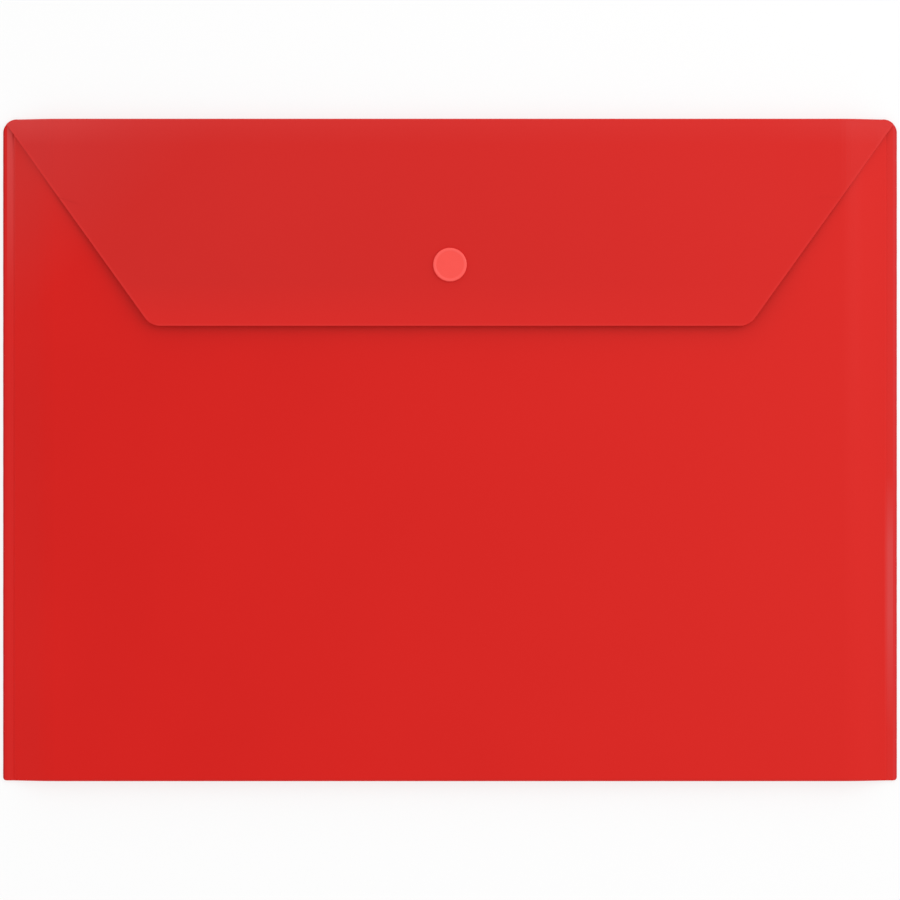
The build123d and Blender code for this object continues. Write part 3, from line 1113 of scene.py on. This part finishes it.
for piece, body, node in (
    (cap, "flap", "stud_cap"),
    (socket, "flap", "stud_socket"),
    (post, "pocket", "stud_post"),
    (under_cap, "pocket", "stud_back_cap"),
):
    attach(piece, body)
    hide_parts(node)
print("joined", len(pieces), "pieces to the frame")

# %% [markdown]
# ## Floor, light and camera
# The wallet lies on a white table and is seen straight from above. A white floor in soft light comes out
# grey. So this one is mixed with a glow of its own where it is seen or mirrored, and still takes a soft
# shadow from the wallet.

# %% The white floor
FLOOR_SIZE = 12.0
FLOOR_DROP = 0.3 * MM
FLOOR_SHOWN = 0.72
TABLE_PAINT = (0.95, 0.95, 0.95, 1)
WHITE = (1, 1, 1, 1)

bpy.ops.object.select_all(action="DESELECT")
bpy.ops.mesh.primitive_plane_add(size=FLOOR_SIZE, location=(0, 0, -FLOOR_DROP))
floor = bpy.context.active_object
floor.name = "floor"
white = bpy.data.materials.new("white_table")
white.use_nodes = True
table_tree = white.node_tree
table_tree.nodes.clear()
rays = add_node(table_tree, "ShaderNodeLightPath").outputs
seen = math_node(table_tree, "MAXIMUM", rays["Is Camera Ray"], rays["Is Glossy Ray"])
seen = math_node(table_tree, "MAXIMUM", seen, rays["Is Transmission Ray"])
shown = math_node(table_tree, "MULTIPLY", seen, FLOOR_SHOWN)
paint = add_node(table_tree, "ShaderNodeBsdfDiffuse", {"Color": TABLE_PAINT})
glow = add_node(table_tree, "ShaderNodeEmission", {"Color": WHITE, "Strength": 1.0})
table_inputs = {0: shown, 1: paint.outputs[0], 2: glow.outputs[0]}
mixed = add_node(table_tree, "ShaderNodeMixShader", table_inputs)
add_node(table_tree, "ShaderNodeOutputMaterial", {"Surface": mixed.outputs[0]})
floor.data.materials.append(white)
print("floor", FLOOR_SIZE, "m wide")

# %% [markdown]
# An almost even sky gives most of the light, a little more of it from the top of the picture. A single
# strong lamp would be simpler, but it would give hard shadows and a bright spot on the satin. To the
# camera itself the sky is plain white.

# %% The sky
HORIZON = 1.01
ZENITH = 0.91
SKY_LOW = 0.30
SKY_HIGH = 0.70
SKY_LEAN = (0, 0.12, 0)

world = bpy.data.worlds.new("studio")
bpy.context.scene.world = world
world.use_nodes = True
sky = world.node_tree
sky.nodes.clear()
direction = add_node(sky, "ShaderNodeTexCoord").outputs["Generated"]
upward = add_node(sky, "ShaderNodeSeparateXYZ", {"Vector": direction}).outputs["Z"]
level = ramp(sky, upward, SKY_LOW, SKY_HIGH, HORIZON, ZENITH)
lean_inputs = {0: direction, 1: SKY_LEAN}
lean = add_node(sky, "ShaderNodeVectorMath", lean_inputs, operation="DOT_PRODUCT").outputs["Value"]
level = math_node(sky, "MULTIPLY", level, math_node(sky, "ADD", lean, 1.0))
light = add_node(sky, "ShaderNodeBackground", {"Color": WHITE, "Strength": level})
backdrop = add_node(sky, "ShaderNodeBackground", {"Color": WHITE, "Strength": 1.0})
to_camera = add_node(sky, "ShaderNodeLightPath").outputs["Is Camera Ray"]
sky_inputs = {0: to_camera, 1: light.outputs[0], 2: backdrop.outputs[0]}
sky_mix = add_node(sky, "ShaderNodeMixShader", sky_inputs)
add_node(sky, "ShaderNodeOutputWorld", {"Surface": sky_mix.outputs[0]})
print("sky from", ZENITH, "overhead to", HORIZON, "at the horizon")

# %% [markdown]
# One weak, wide lamp at the upper right gives the edges and the stud their direction. The wider a lamp
# is, the softer its shadows are.

# %% The soft lamp
LAMP_PLACE = (0.45, 0.30, 0.55)
LAMP_SIZE = 0.5
LAMP_POWER = 0.75

bpy.ops.object.light_add(type="AREA", location=LAMP_PLACE)
lamp = bpy.context.active_object
lamp.name = "soft_lamp"
lamp.data.shape = "DISK"
lamp.data.size = LAMP_SIZE
lamp.data.energy = LAMP_POWER
lamp.rotation_euler = (-lamp.location).to_track_quat("-Z", "Y").to_euler()
lamp.visible_camera = False
print("lamp of", LAMP_POWER, "W")

# %% [markdown]
# The camera looks straight down through a long lens. It stands nearly two metres away, so the picture has
# hardly any perspective, and the width that it sees is just over the width of the wallet.

# %% The camera
LENS = 200.0
SENSOR = 36.0
SEEN_WIDTH = 332.4 * MM
FARTHEST_SEEN = 100.0

bpy.ops.object.camera_add(location=(0, 0, SEEN_WIDTH * LENS / SENSOR))
camera = bpy.context.active_object
camera.name = "camera"
camera.data.lens = LENS
camera.data.sensor_width = SENSOR
camera.data.clip_end = FARTHEST_SEEN
bpy.context.scene.camera = camera
bpy.context.scene.view_settings.view_transform = "Standard"
print("camera stands at", round(camera.location.z, 3), "m")
